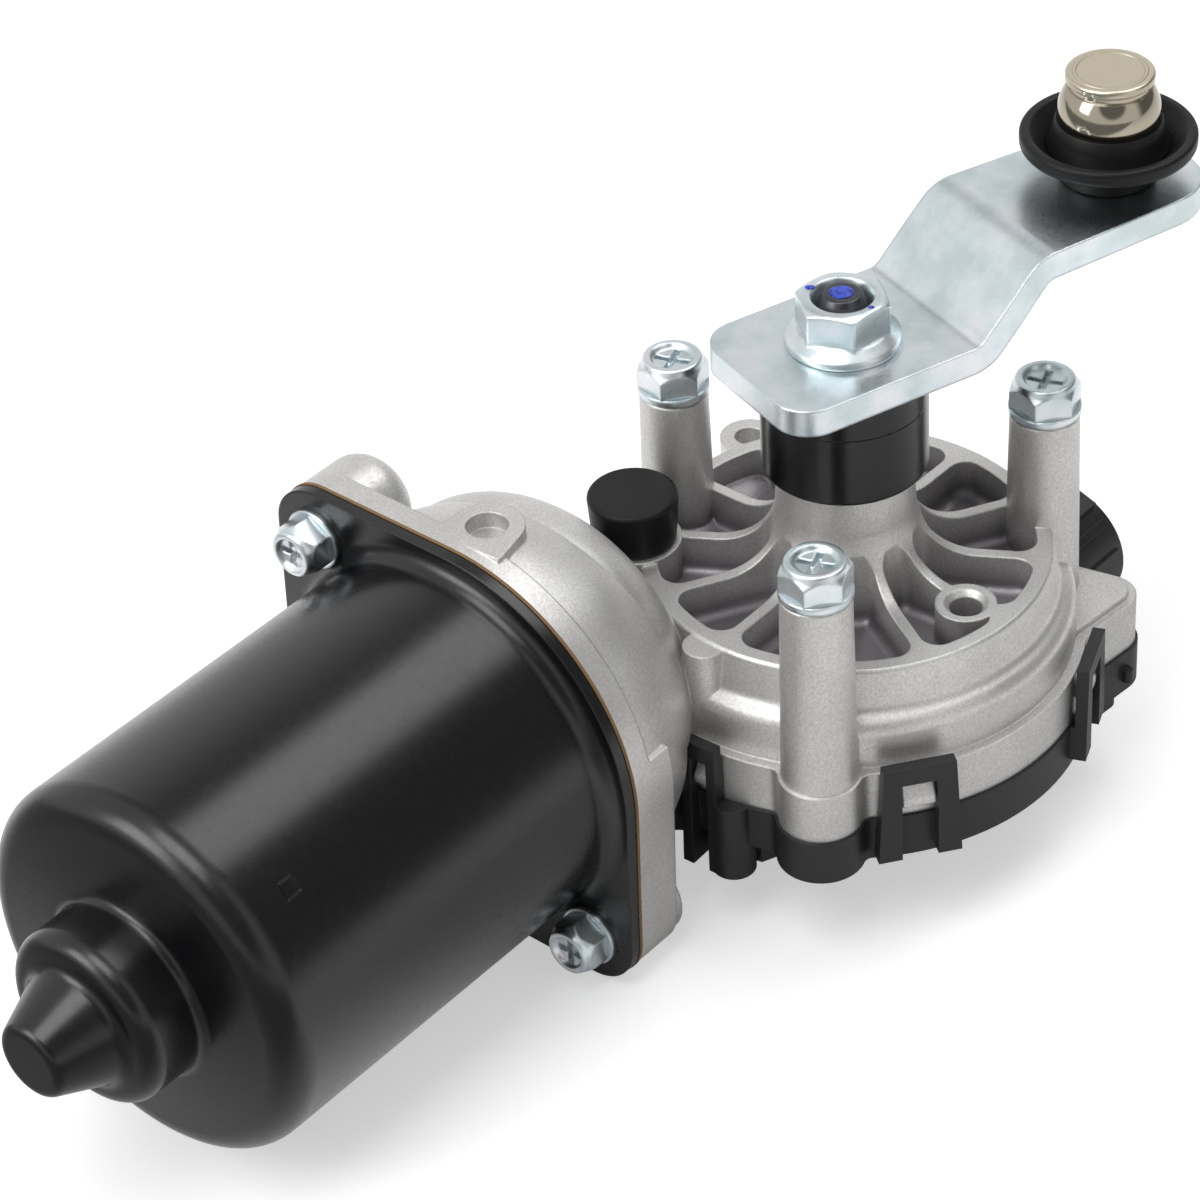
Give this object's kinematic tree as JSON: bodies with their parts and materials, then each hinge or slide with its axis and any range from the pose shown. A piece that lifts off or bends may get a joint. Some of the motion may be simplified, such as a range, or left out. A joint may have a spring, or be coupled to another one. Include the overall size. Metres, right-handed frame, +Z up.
{
  "type": "windscreen wiper motor",
  "caption": "Windscreen wiper motor: black steel can, ribbed cast gear case on three posts, round plug socket, and a joggled crank arm with ball stud.",
  "frame": {"origin": "on the output axis, in the plane of the cover's flat underside", "axes": "+Z up along the output shaft, +X along the motor and away from its nose, +Y from the output axis toward the motor axis"},
  "size_m": [0.213, 0.1041, 0.1161],
  "materials": {
    "cast_aluminium": "satin grainy die casting",
    "black_plastic": "moulded black plastic",
    "tinned_brass": "sheet brass",
    "black_paint": "satin black paint",
    "gasket_sheet": "brown fibre sheet",
    "zinc_steel": "bright zinc plating",
    "black_rubber": "matte rubber",
    "bronze": "sintered bronze",
    "brown_laminate": "phenolic laminate",
    "ferrite": "ground ferrite",
    "bearing_steel": "ground steel",
    "carbon": "pressed carbon",
    "copper_wire": "enamelled copper",
    "white_plastic": "moulded acetal",
    "dark_steel": "oiled dark steel",
    "nickel": "nickel plating"
  },
  "bodies": {
    "frame": {"gear_housing": "cast_aluminium", "gear_cover": "black_plastic", "connector_shell": "black_plastic", "connector_terminals": "tinned_brass", "motor_can": "black_paint", "flange_gasket": "gasket_sheet", "flange_bolts": "zinc_steel", "flange_washers": "zinc_steel", "post_bolts": "zinc_steel", "post_washers": "zinc_steel", "rubber_plug": "black_rubber", "lower_bush": "bronze", "upper_bush": "bronze", "shaft_seal": "black_rubber", "contact_plate": "brown_laminate", "park_contacts": "tinned_brass", "field_magnets": "ferrite", "rear_bush": "bronze", "bush_retainer": "zinc_steel", "front_bearing": "bearing_steel", "bearing_retainer": "zinc_steel", "brush_card": "brown_laminate", "brush_holders": "tinned_brass", "brushes": "carbon", "brush_springs": "zinc_steel", "choke_coils": "copper_wire", "thrust_button": "white_plastic"},
    "output": {"output_shaft": "dark_steel", "worm_wheel": "white_plastic", "park_disc": "tinned_brass", "thrust_washer": "white_plastic", "shaft_washer": "zinc_steel", "retaining_ring": "dark_steel", "water_shield": "black_plastic", "crank_arm": "zinc_steel", "crank_nut": "zinc_steel", "ball_stud": "nickel", "ball_boot": "black_rubber"},
    "armature": {"armature_shaft": "bearing_steel", "armature_core": "dark_steel", "armature_windings": "copper_wire", "commutator": "copper_wire", "bearing_inner_ring": "bearing_steel"}
  },
  "joints": [
    {"name": "output_spin", "type": "hinge", "parent": "frame", "child": "output", "pos_m": [0, 0, 0.025], "axis": [0, 0, 1], "continuous": true},
    {"name": "armature_spin", "type": "hinge", "parent": "frame", "child": "armature", "pos_m": [0, 0.0295, 0.025], "axis": [1, 0, 0], "continuous": true}
  ],
  "couplings": [
    {"joint": "armature_spin", "follows": "output_spin", "ratio": 50}
  ]
}
